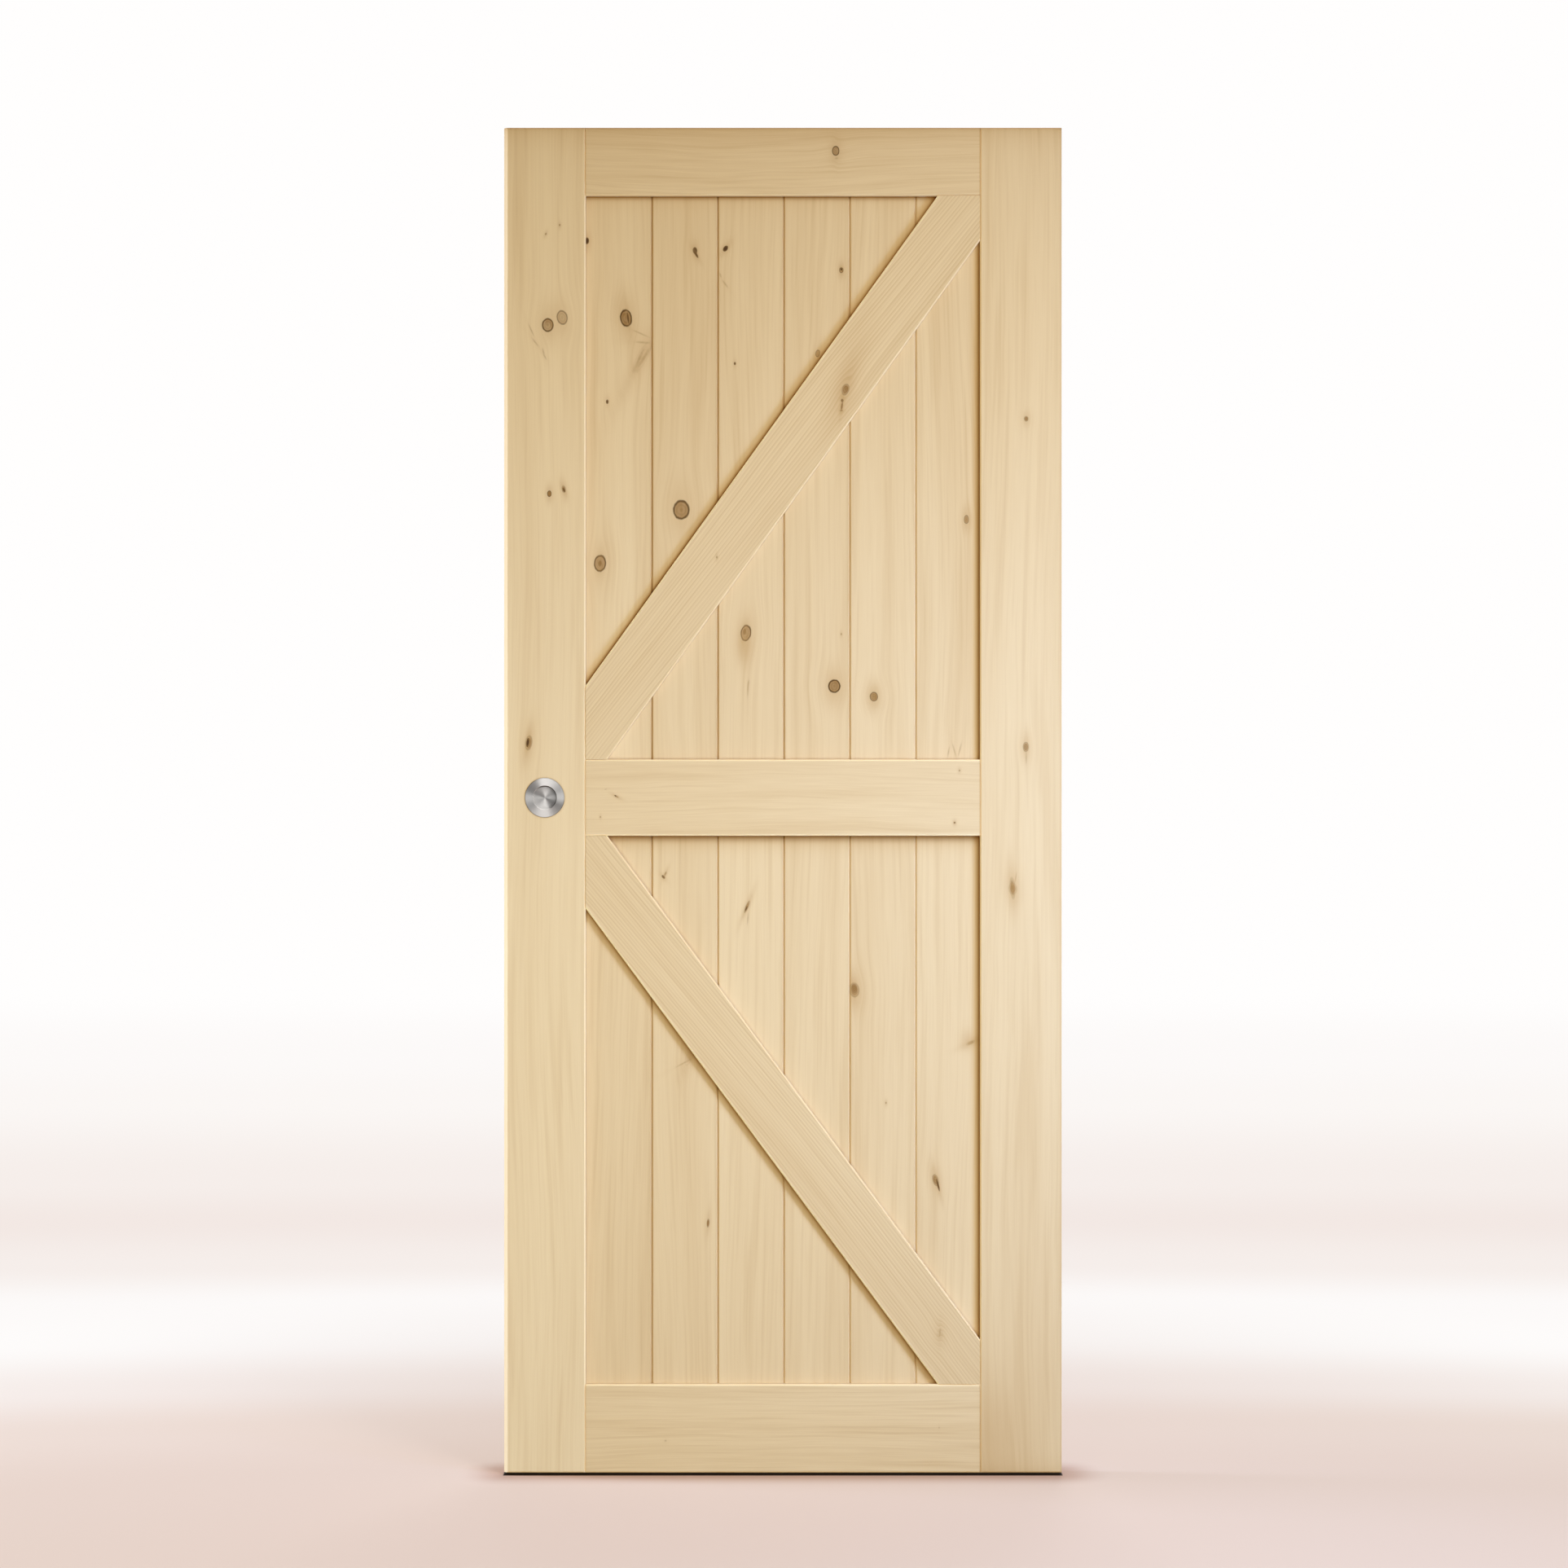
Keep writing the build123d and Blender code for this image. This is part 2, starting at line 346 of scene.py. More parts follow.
# Knots
def knot_field_group():
    """Where a knot lies: distance in knot radii, stained surroundings, and its push on the grain."""
    tree, graph, given, made = new_group(
        "knot_field",
        {"Grain": "Vector", "Wobble": "Float", "Across": "Float", "Along": "Float",
         "Half width": "Float", "Half length": "Float", "Tilt": "Float"},
        {"Push": "Float", "Distance": "Float", "Halo": "Float"},
    )
    across, _, along = graph.split(given["Grain"])
    across = graph.math("SUBTRACT", across, given["Across"])
    along = graph.math("SUBTRACT", along, given["Along"])
    cosine = graph.math("COSINE", given["Tilt"])
    sine = graph.math("SINE", given["Tilt"])
    wide = graph.math("SUBTRACT", graph.math("MULTIPLY", across, cosine), graph.math("MULTIPLY", along, sine))
    long = graph.math("ADD", graph.math("MULTIPLY", across, sine), graph.math("MULTIPLY", along, cosine))
    wide = graph.math("DIVIDE", wide, given["Half width"])
    long = graph.math("DIVIDE", long, given["Half length"])
    distance = graph.vector("LENGTH", graph.join(wide, long, 0.0))
    graph.feed(made["Distance"], graph.math("ADD", distance, given["Wobble"]))
    graph.feed(made["Halo"], graph.bell(wide, long, HALO_NARROW))
    # The grain moves away on both sides, most of all close to the knot
    square = graph.math("MULTIPLY", wide, wide)
    side = graph.math("DIVIDE", wide, graph.math("SQRT", graph.math("ADD", square, PUSH_SOFTNESS)))
    push = graph.math("MULTIPLY", side, graph.bell(wide, long, PUSH_NARROW))
    push = graph.math("MULTIPLY", push, given["Half width"])
    graph.feed(made["Push"], graph.math("MULTIPLY", push, -1.0))
    return tree


def knot_paint_group():
    """Paints one knot over the wood: stain round it, heart with its own rings, bark line and dark pith."""
    tree, graph, given, made = new_group(
        "knot_paint",
        {"Color": "Color", "Distance": "Float", "Halo": "Float", "Fibre": "Float",
         "Heart": "Float", "Bark": "Float", "Stain": "Float", "Pith": "Float", "Edge": "Float"},
        {"Color": "Color", "Dark": "Float"},
    )
    distance = given["Distance"]
    stain = graph.math("MULTIPLY", given["Halo"], given["Stain"], clamp=True)
    color = graph.mix(stain, given["Color"], STAIN)
    inside = graph.ramp(distance, given["Edge"], HEART_END, 1.0, 0.0)
    heart = graph.math("MULTIPLY", inside, given["Heart"], clamp=True)
    fibres = graph.math("MULTIPLY_ADD", given["Fibre"], *HEART_FIBRE)
    color = graph.mix(graph.math("MULTIPLY", heart, fibres), color, KNOT_HEART)
    wave = graph.math("SINE", graph.math("MULTIPLY", distance, HEART_RINGS))
    rings = graph.math("MULTIPLY", graph.math("MULTIPLY_ADD", wave, 0.5, 0.5), heart)
    rings = graph.math("MULTIPLY", rings, HEART_RING_SHADE)
    color = graph.mix(rings, color, KNOT_RING)
    bark = graph.math("MULTIPLY", graph.band(distance, *BARK_BAND), given["Bark"], clamp=True)
    color = graph.mix(bark, color, KNOT_RING)
    pith = graph.math("MULTIPLY", graph.ramp(distance, *PITH_SPAN, 1.0, 0.0), given["Pith"])
    graph.feed(made["Color"], graph.mix(pith, color, KNOT_PITH))
    graph.feed(made["Dark"], graph.math("MAXIMUM", bark, heart))
    return tree


KNOT_FIELD = knot_field_group()
KNOT_PAINT = knot_paint_group()

KINDS = {
    "ring": Kind(0.72, 0.90, 0.34, 0.05, 0.80, True),
    "pale": Kind(0.46, 0.58, 0.26, 0.02, 0.70, True),
    "dark": Kind(0.90, 1.00, 0.50, 0.12, 0.80, True),
    "black": Kind(1.00, 0.80, 0.50, 0.95, 0.80, True),
    "brown": Kind(0.85, 0.30, 0.42, 0.15, 0.50, True),
    "tan": Kind(0.70, 0.10, 0.35, 0.0, 0.30, False),
    "pin": Kind(1.00, 0.60, 0.30, 0.70, 0.50, False),
    "faint": Kind(0.10, 0.06, 0.25, 0.0, 0.30, True),
    "streak": Kind(0.36, 0.0, 0.06, 0.0, 0.0, False),
    "smudge": Kind(0.0, 0.0, 0.40, 0.0, 0.0, False),
}

KNOTS = {
    "left_stile": [
        Knot(672.4, 398.9, 14.4, 17, 0, "ring"),
        Knot(690.1, 389.5, 13, 18, -10, "pale"),
        Knot(670, 287, 2.4, 3.6, 20, "tan"),
        Knot(687, 276, 2.4, 3.6, 0, "tan"),
        Knot(674.3, 606, 5.2, 7.6, 0, "dark"),
        Knot(692, 600.5, 5, 9, -10, "brown"),
        Knot(692.3, 601.5, 2.8, 6, -24, "pin"),
        Knot(649, 912, 8.5, 19, 8, "brown"),
        Knot(647.8, 911.5, 3.6, 11, 8, "black"),
        Knot(657, 420, 3, 18, -38, "streak"),
        Knot(667, 432, 3, 14, -12, "streak"),
        Knot(652, 405, 2.6, 24, -24, "streak"),
        Knot(669, 438, 2.6, 10, -30, "streak"),
    ],
    "top_rail": [
        Knot(1026, 185, 9, 12, 0, "ring"),
        Knot(1027, 194, 6, 3, 0, "streak"),
    ],
    "upper_plank_1": [
        Knot(720, 294, 5, 8, 0, "black"),
        Knot(768.1, 389, 14.5, 21.5, -8, "dark"),
        Knot(770.5, 389, 2.4, 14, -8, "pin"),
        Knot(788, 437, 13, 46, 28, "faint"),
        Knot(784, 440, 5.5, 42, 24, "streak"),
        Knot(790, 438, 6, 44, 32, "streak"),
        Knot(786, 408, 3, 30, -66, "streak"),
        Knot(788, 419, 4, 24, -86, "streak"),
        Knot(745, 492, 3.4, 5.4, 0, "pin"),
        Knot(736, 691, 14.5, 21, 4, "ring"),
        Knot(736, 691, 5, 8, 4, "brown"),
    ],
    "upper_plank_2": [
        Knot(853, 306, 5.5, 8.5, -6, "black"),
        Knot(854.5, 311, 3, 9, -30, "pin"),
        Knot(836, 625, 20, 24, 0, "ring"),
        Knot(836, 625, 5, 6, 0, "streak"),
    ],
    "lower_plank_2": [
        Knot(814, 1076.8, 3.2, 5.5, -40, "pin"),
        Knot(816.5, 1073, 2.8, 7, 24, "tan"),
        Knot(869, 1503, 3.4, 11, 4, "brown"),
        Knot(839, 1306, 3, 30, 62, "streak"),
        Knot(845, 1300, 8, 20, 20, "faint"),
    ],
    "upper_plank_3": [
        Knot(890.5, 303.5, 5.2, 8, 36, "black"),
        Knot(884, 336, 3, 10, -20, "streak"),
        Knot(890, 347, 3.4, 16, -36, "streak"),
        Knot(902, 445, 2.6, 4, 0, "pin"),
        Knot(915.6, 776.7, 12.8, 20, 8, "ring"),
        Knot(914, 775, 4, 8, 8, "brown"),
        Knot(914, 795, 10, 14, 0, "smudge"),
        Knot(918, 845, 3.4, 30, 2, "streak"),
        Knot(919, 838, 2, 12, 4, "streak"),
    ],
    "lower_plank_3": [
        Knot(916.8, 1113.8, 3.8, 16, 22, "brown"),
        Knot(916, 1116, 1.8, 7, 24, "pin"),
        Knot(918, 1128, 3, 22, 4, "streak"),
    ],
    "upper_plank_4": [
        Knot(1033, 330, 5, 7, 0, "dark"),
        Knot(1033, 329, 2.4, 3.4, 0, "black"),
        Knot(1004, 432.5, 5.6, 9, 10, "pale"),
        Knot(1024.4, 842.1, 15, 16.6, 0, "dark"),
        Knot(1033, 778, 2, 3.4, 0, "tan"),
    ],
    "upper_plank_5": [
        Knot(1073, 855, 10.4, 11.8, 0, "brown"),
        Knot(1073, 855, 10, 11.4, 0, "pale"),
    ],
    "lower_plank_5": [
        Knot(1049, 1216, 12.5, 18.5, -6, "brown"),
        Knot(1049, 1214, 7, 11, -6, "brown"),
        Knot(1088, 1355, 2.4, 3.2, 0, "tan"),
    ],
    "upper_plank_6": [
        Knot(1187, 637, 6, 10.5, 0, "tan"),
        Knot(1187, 637, 6, 10.5, 0, "pale"),
        Knot(1172, 921, 3, 26, -16, "streak"),
        Knot(1165, 923, 3, 20, 10, "streak"),
        Knot(1179, 920, 3, 24, 14, "streak"),
    ],
    "lower_plank_6": [
        Knot(1149, 1450, 7.5, 15, -14, "brown"),
        Knot(1152, 1456, 2.6, 16, -14, "pin"),
        Knot(1192, 1281, 5, 12, 64, "tan"),
        Knot(1189, 1278, 10, 8, 0, "smudge"),
    ],
    "front_upper_brace": [
        Knot(1039, 466, 16, 40, 20, "smudge"),
        Knot(1038, 478, 9, 15, 16, "brown"),
        Knot(1034, 491.5, 3.4, 4.2, 0, "pin"),
        Knot(1033.5, 499, 2.6, 12, 8, "brown"),
        Knot(1033, 504, 5, 2.4, 0, "tan"),
        Knot(880, 684, 2.2, 3.4, 0, "tan"),
    ],
    "middle_rail": [
        Knot(1178, 946, 2.6, 2.8, 0, "tan"),
        Knot(1172, 1010, 3.4, 3.2, 0, "tan"),
        Knot(1172, 1010, 1.8, 2, 0, "pin"),
        Knot(757, 978, 2.6, 6, -62, "tan"),
        Knot(755.5, 977, 1.6, 3, -62, "pin"),
        Knot(743.5, 969, 1.6, 4, 70, "streak"),
        Knot(737, 1003, 2.0, 2.4, 0, "tan"),
    ],
    "front_lower_brace": [
        Knot(1154, 1636, 3, 14, 4, "streak"),
        Knot(1154, 1638, 8, 12, 0, "faint"),
    ],
    "right_stile": [
        Knot(1260, 514, 5.6, 6.6, 0, "brown"),
        Knot(1259.5, 917, 7.5, 12.5, 0, "brown"),
        Knot(1260, 930, 3, 22, 0, "streak"),
        Knot(1243.5, 1091, 11, 15, -6, "tan"),
        Knot(1243, 1090, 7, 28, -4, "tan"),
        Knot(1247, 1078, 2, 20, 10, "streak"),
        Knot(1222, 1768, 42, 56, 0, "smudge"),
    ],
    "bottom_rail": [
        Knot(817, 1769, 4, 3, 0, "streak"),
        Knot(1153, 1753, 2, 3, 0, "streak"),
    ],
}


def knots_of(node, angle, across, along):
    """A board's knots as settings of the knot field group, from the board's middle along its grain."""
    knots = []
    for knot in KNOTS.get(node, []):
        knot_across, knot_along = turned(*row_point(knot.x, knot.y), angle)
        settings = {
            "Across": knot_across - across,
            "Along": knot_along - along,
            "Half width": knot.width * PIXEL / 2,
            "Half length": knot.height * PIXEL / 2,
            "Tilt": math.radians(knot.lean) + angle,
        }
        knots.append((settings, KINDS[knot.kind]))
    return knots


def knot_fields(graph, local, knots):
    """The field node and kind of each knot, and how far all of them push the grain."""
    wobble = graph.noise(local, KNOT_WAVES, 1.0)
    wobble = graph.math("MULTIPLY_ADD", wobble, KNOT_WOBBLE, -KNOT_WOBBLE / 2)
    fields = []
    push = 0.0
    for settings, kind in knots:
        field = graph.add("ShaderNodeGroup", node_tree=KNOT_FIELD)
        graph.feed(field.inputs["Grain"], local)
        graph.feed(field.inputs["Wobble"], wobble)
        for socket, value in settings.items():
            field.inputs[socket].default_value = value
        if kind.bends:
            push = graph.math("ADD", push, field.outputs["Push"])
        fields.append((field, kind))
    return fields, push


def painted_knots(graph, color, fibre, fields):
    """The wood's colour with its knots, and how far a place is knot."""
    scars = 0.0
    for field, kind in fields:
        paint = graph.add("ShaderNodeGroup", node_tree=KNOT_PAINT)
        graph.feed(paint.inputs["Color"], color)
        graph.feed(paint.inputs["Distance"], field.outputs["Distance"])
        graph.feed(paint.inputs["Halo"], field.outputs["Halo"])
        graph.feed(paint.inputs["Fibre"], fibre)
        for part in ("heart", "bark", "stain", "pith", "edge"):
            paint.inputs[part.capitalize()].default_value = getattr(kind, part)
        color = paint.outputs["Color"]
        scars = graph.math("MAXIMUM", scars, paint.outputs["Dark"])
    return color, scars


# Pine
def wood_grain(graph, local, push, seed, figure):
    """Streaks, fibres and growth rings, which drift across the board and bend round the knots."""
    dice = random.Random(seed)
    shift = tuple(dice.uniform(-NOISE_SHIFT, NOISE_SHIFT) for _ in range(3))
    moved = graph.vector("ADD", local, graph.join(push, 0.0, 0.0))
    wood = graph.vector("ADD", moved, shift)
    drift = graph.noise(wood, DRIFT_WAVES, 0.0)
    drift = graph.math("MULTIPLY_ADD", drift, DRIFT_SWAY, -DRIFT_SWAY / 2)
    ripple = graph.noise(wood, RIPPLE_WAVES, 0.0)
    ripple = graph.math("MULTIPLY_ADD", ripple, figure["ripple"], -figure["ripple"] / 2)
    sway = graph.math("ADD", drift, ripple)
    wood = graph.vector("ADD", wood, graph.join(sway, 0.0, 0.0))
    broad = graph.noise(wood, BROAD_WAVES, 0.0)
    streak = graph.noise(wood, STREAK_WAVES, 1.0)
    line = graph.noise(wood, LINE_WAVES, 1.0)
    fibre = graph.noise(wood, FIBRE_WAVES, 0.0)

    # Growth rings round the tree's middle
    pith_across, pith_through = figure["pith"]
    across, through, _ = graph.split(moved)
    across = graph.math("SUBTRACT", graph.math("ADD", across, sway), pith_across)
    through = graph.math("SUBTRACT", through, pith_through)
    from_pith = graph.vector("LENGTH", graph.join(across, through, 0.0))
    years = graph.math("DIVIDE", from_pith, figure["ring width"])
    years = graph.math("ADD", years, graph.math("MULTIPLY", streak, figure["uneven"]))
    year = graph.math("FRACT", years)
    latewood = graph.math("POWER", year, figure["sharp"])
    latewood = graph.math("MULTIPLY", latewood, graph.ramp(year, LATEWOOD_END, 1.0, 1.0, 0.0))
    latewood = graph.math("MULTIPLY", latewood, graph.ramp(line, *BROKEN_SPAN, BROKEN_LEAST, 1.0))
    return Grain(broad, streak, line, fibre, latewood)


def wood_color(graph, grain, figure, height):
    """Pale wood, warmer towards the top as painted shade, with dark streaks that are browner than the wood
    between them.
    """
    light = graph.math("MULTIPLY_ADD", grain.broad, 2 * figure["broad"], figure["tone"] - figure["broad"])
    streaks = graph.math("MULTIPLY", graph.ramp(grain.streak, *STREAK_SPAN), figure["streak"])
    light = graph.math("SUBTRACT", light, streaks)
    lines = graph.math("MULTIPLY", graph.ramp(grain.line, *LINE_SPAN), figure["line"])
    light = graph.math("SUBTRACT", light, lines)
    fibres = graph.math("MULTIPLY_ADD", grain.fibre, 2 * figure["fibre"], -figure["fibre"])
    light = graph.math("ADD", light, fibres)
    green = graph.math("MULTIPLY_ADD", light, GREEN_LOSS, 1 - GREEN_LOSS)
    blue = graph.math("MULTIPLY_ADD", light, BLUE_LOSS, 1 - BLUE_LOSS)
    color = graph.mix(1.0, EARLYWOOD, graph.join(light, green, blue), "MULTIPLY")
    rings = graph.math("MULTIPLY", grain.latewood, figure["rings"], clamp=True)
    color = graph.mix(rings, color, LATEWOOD)
    upper_shaded = graph.mix(1.0, color, UPPER_SHADE, "MULTIPLY")
    return graph.mix(graph.ramp(height, *UPPER_SHADE_HEIGHTS), color, upper_shaded)


def painted_edge_shade(graph, place, edges):
    """Painted shade along a board's edges, by distance from each, or a painted highlight where the strength
    is below nought.
    """
    painted_shade = 0.0
    for edge in edges:
        offset = graph.vector("SUBTRACT", place, (edge.point[0], 0, edge.point[1]))
        if edge.way:
            off = graph.vector("DOT_PRODUCT", offset, (edge.way[0], 0, edge.way[1]))
        else:
            radius = graph.vector("LENGTH", graph.vector("MULTIPLY", offset, (1, 0, 1)))
            off = graph.math("SUBTRACT", radius, PULL_RADIUS)
        outside = graph.math("MAXIMUM", off, 0.0)
        fade = graph.math("EXPONENT", graph.math("DIVIDE", outside, -edge.reach))
        near = graph.math("GREATER_THAN", off, -EDGE_SLACK)
        fade = graph.math("MULTIPLY", fade, near)
        painted_shade = graph.math("ADD", painted_shade, graph.math("MULTIPLY", fade, edge.strength))
    return painted_shade


def pine(name, turn, centre, seed, figure, knots, edges):
    """Pine for one board, solid through its thickness.

    The board's own axes are across, through and along the grain; turn brings the row's X and Z to them.
    figure holds the width, place and strength of the growth rings and the strength of streaks and fibres.
    """
    material, graph, shader = new_material(name)
    place = graph.add("ShaderNodeTexCoord").outputs
    board = graph.add("ShaderNodeMapping")
    graph.feed(board.inputs["Vector"], place["Object"])
    board.inputs["Rotation"].default_value = (0, turn, 0)
    board.inputs["Location"].default_value = tuple(-value for value in centre)
    local = board.outputs[0]

    fields, push = knot_fields(graph, local, knots)
    grain = wood_grain(graph, local, push, seed, figure)
    color = wood_color(graph, grain, figure, graph.split(place["Object"])[2])
    color, scars = painted_knots(graph, color, grain.fibre, fields)

    # Cut arrises are paler than the planed faces, and paler still as a painted highlight; painted shade lies
    # on what looks to the front or the back
    facing = graph.math("ABSOLUTE", graph.split(place["Normal"])[1])
    arris_highlight = graph.band(facing, *ARRIS_HIGHLIGHT_FACING)
    color = graph.mix(graph.math("MULTIPLY", arris_highlight, figure["arris_highlight"]), color, ARRIS_HIGHLIGHT)
    painted_shade = painted_edge_shade(graph, place["Object"], edges)
    painted_shade = graph.math("MULTIPLY", painted_shade, graph.ramp(facing, *SHADE_FACING))
    left = graph.join(*(graph.math("POWER", share, painted_shade) for share in PAINTED_SHADE_SHARES))
    graph.feed(shader.inputs["Base Color"], graph.mix(1.0, color, left, "MULTIPLY"))

    rough = graph.math("MULTIPLY_ADD", grain.latewood, -LATEWOOD_GLOSS, WOOD_ROUGHNESS)
    graph.feed(shader.inputs["Roughness"], graph.math("MULTIPLY_ADD", scars, -KNOT_GLOSS, rough))
    shader.inputs["Specular IOR Level"].default_value = 0.20
    planed = graph.noise(local, PLANED_WAVES, 2.0, 0.6)
    graph.bump(shader, planed, strength=0.30, distance=0.0003)
    return material


def figure_of(node, dice):
    """Growth rings and grain strengths by the kind of board."""
    if "brace" in node:
        figure = {
            "pith": (0.20, 0.03), "ring width": 0.0049, "rings": 0.60, "sharp": 1.4, "uneven": 0.35,
            "ripple": 0.0015, "broad": 0.04, "streak": 0.03, "line": 0.03, "fibre": 0.03, "arris_highlight": 0.7,
        }
    elif "rail" in node:
        figure = {
            "pith": (dice.uniform(0.12, 0.18), 0.05), "ring width": 0.008, "rings": 0.16, "sharp": 1.5,
            "uneven": 2.0, "ripple": 0.006, "broad": 0.04, "streak": 0.045, "line": 0.06, "fibre": 0.04,
            "arris_highlight": 0.3 if node == "top_rail" else 0.9,
        }
        if node == "middle_rail":
            figure.update({"rings": 0.10, "line": 0.045})
    else:
        figure = {
            "pith": (dice.uniform(-0.05, 0.05), dice.choice((-1, 1)) * dice.uniform(0.03, 0.06)),
            "ring width": dice.uniform(0.012, 0.020), "rings": dice.uniform(0.03, 0.10), "sharp": 1.2,
            "uneven": 2.0, "ripple": 0.003, "broad": 0.045, "streak": 0.06, "line": 0.04, "fibre": 0.02,
            "arris_highlight": 0.25 if "plank" in node else 0.6,
        }
    figure["tone"] = PALER.get(node, 0.0) + dice.uniform(1.0, 1.045)
    return figure


def grain_turn(node):
    """The turn about Y that brings a board's grain upright."""
    if "rail" in node:
        return -math.pi / 2
    if "upper_brace" in node:
        return -BRACE_LEAN["upper"] - GRAIN_LEAN
    if "lower_brace" in node:
        return BRACE_LEAN["lower"] + GRAIN_LEAN
    return 0.0


def brace_edge(field):
    """A point on the shaded long edge of a field's brace, and the way from the brace to the planks there."""
    low, high = FIELDS[field]
    lean = BRACE_LEAN[field]
    if field == "upper":
        return (FIELD_HALF - BRACE_HEAD, high), (-math.cos(lean), math.sin(lean))
    return (FIELD_HALF - BRACE_HEAD, low), (-math.cos(lean), -math.sin(lean))


def plank_edges(node):
    """Edges along which a plank gets painted shade."""
    field, _, number = node.split("_")
    below_rail = (0, FIELDS[field][1])
    edges = [
        Edge(*brace_edge(field), *BRACE_SHADE),
        Edge((FIELD_HALF, 0), (-1, 0), *STILE_SHADE),
    ]
    edges += [Edge(below_rail, (0, -1), *painted_shade) for painted_shade in RAIL_SHADE[field]]
    for joint, way in ((int(number) - 1, 1), (int(number), -1)):
        if 0 < joint < PLANK_COUNT:
            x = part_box(f"{field}_plank_{joint + 1}")[0].x - JOINT_HALF_GAP
            strength = JOINT_SHADE[field] * (1 - JOINT_SHADE_LOSS * joint)
            edges.append(Edge((x, 0), (way, 0), JOINT_SHADE_REACH, strength))
    return edges


def frame_edges(node):
    """Edges along which a stile, rail or brace gets painted shade, or a painted highlight."""
    edges = []
    if node.endswith("stile") or node == "top_rail":
        edges += [Edge((0, 0), (0, -1), *painted_shade) for painted_shade in TOP_EDGE_SHADE]
    if node == "left_stile":
        edges.append(Edge((-FIELD_HALF - EASED_EDGE, 0), (-1, 0), *LEFT_EDGE_HIGHLIGHT))
        edges.append(Edge((0, leaf_low.z), (0, 1), *LEFT_FOOT_PAINTED_LIGHT))
        edges.append(Edge((PULL_CENTRE.x, PULL_CENTRE.z), None, *PULL_SHADE))
    if "brace" in node:
        (x, z), (way_x, way_z) = brace_edge(node.split("_")[1])
        arris_highlight = (x - EASED_EDGE * way_x, z - EASED_EDGE * way_z)
        edges.append(Edge(arris_highlight, (-way_x, -way_z), *BRACE_HIGHLIGHT))
    if node == "right_stile":
        edges.append(Edge((leaf_high.x - EASED_EDGE, 0), (-1, 0), *RIGHT_EDGE_SHADE))
        edges.append(Edge((0, leaf_low.z), (0, 1), *FOOT_SHADE))
    if "rail" in node:
        edges.append(Edge((FIELD_HALF, 0), (-1, 0), *RAIL_END_SHADE["right"]))
        edges.append(Edge((-FIELD_HALF, 0), (1, 0), *RAIL_END_SHADE["left"]))
    if node == "middle_rail":
        edges.append(Edge((0, FIELDS["upper"][0] - EASED_EDGE), (0, -1), *MIDDLE_RAIL_HIGHLIGHT["upper"]))
        edges.append(Edge((0, FIELDS["lower"][1] + EASED_EDGE), (0, 1), *MIDDLE_RAIL_HIGHLIGHT["lower"]))
    if node == "bottom_rail":
        edges.append(Edge((0, FIELDS["lower"][0] - EASED_EDGE), (0, -1), *BOTTOM_RAIL_HIGHLIGHT))
    return edges


def dress_board(node, seed):
    low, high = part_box(node)
    middle = (low + high) / 2
    angle = grain_turn(node)
    across, along = turned(middle.x, middle.z, angle)
    figure = figure_of(node, random.Random(seed * 7 + 3))
    knots = knots_of(node, angle, across, along)
    edges = plank_edges(node) if "plank" in node else frame_edges(node)
    dress(node, pine("pine_" + node, angle, (across, middle.y, along), seed, figure, knots, edges))


boards = [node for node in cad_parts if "pull" not in node]
for number, node in enumerate(sorted(boards)):
    dress_board(node, number + 1)


# Steel
def brushed_steel():
    """Stainless steel brushed in circles round the pull's axis, with a painted shadow in the cup's corner and
    painted shade at the flange's rim.
    """
    material, graph, shader = new_material("brushed_steel")
    place = graph.add("ShaderNodeTexCoord").outputs["Object"]
    offset = graph.vector("SUBTRACT", place, (PULL_CENTRE.x, 0, PULL_CENTRE.z))
    x, _, z = graph.split(offset)
    radius = graph.vector("LENGTH", graph.join(x, z, 0.0))
    turn = graph.math("ARCTAN2", x, z)
    scratch = graph.noise(graph.join(radius, turn, 0.0), BRUSH_WAVES, 2.0)
    color = graph.mix(scratch, STEEL_DARK, STEEL_LIGHT)
    # Painted shadow of the rim in the corner of the cup, on its shaded side
    side = graph.math("DIVIDE", graph.vector("DOT_PRODUCT", offset, CUP_SHADOW_SIDE), radius)
    rise = graph.ramp(radius, *CUP_SHADOW_RISE)
    corner = graph.math("MULTIPLY", rise, graph.ramp(radius, *CUP_SHADOW_FALL, 1.0, 0.0))
    cup_shadow = graph.math("MULTIPLY", corner, graph.ramp(side, *CUP_SHADOW_TURN))
    # Painted shade darkens the flange's outer rim
    rim = graph.ramp(radius, PULL_RADIUS - RIM_WIDTH, PULL_RADIUS, 0.0, RIM_SHADE)
    shade = graph.math("MAXIMUM", graph.math("MULTIPLY", cup_shadow, CUP_SHADOW_STRENGTH), rim)
    graph.feed(shader.inputs["Base Color"], graph.mix(shade, color, CUP_SHADOW))
    graph.feed(shader.inputs["Roughness"], graph.math("MULTIPLY_ADD", scratch, *STEEL_ROUGHNESS))
    shader.inputs["Metallic"].default_value = 1.0
    shader.inputs["Anisotropic"].default_value = 0.97
    shader.inputs["Anisotropic Rotation"].default_value = 0.25
    tangent = graph.add("ShaderNodeTangent", direction_type="RADIAL", axis="Y")
    graph.feed(shader.inputs["Tangent"], tangent.outputs[0])
    graph.bump(shader, scratch, strength=0.12, distance=0.0001)
    return material


steel = brushed_steel()
for node in ("front_pull", "back_pull"):
    dress(node, steel)


# Floor and white surroundings
def add_object(name, build):
    """A new mesh object whose faces build() puts into a bmesh."""
    mesh = bpy.data.meshes.new(name)
    shape = bmesh.new()
    build(shape)
    shape.to_mesh(mesh)
    shape.free()
    made = bpy.data.objects.new(name, mesh)
    bpy.context.scene.collection.objects.link(made)
    return made


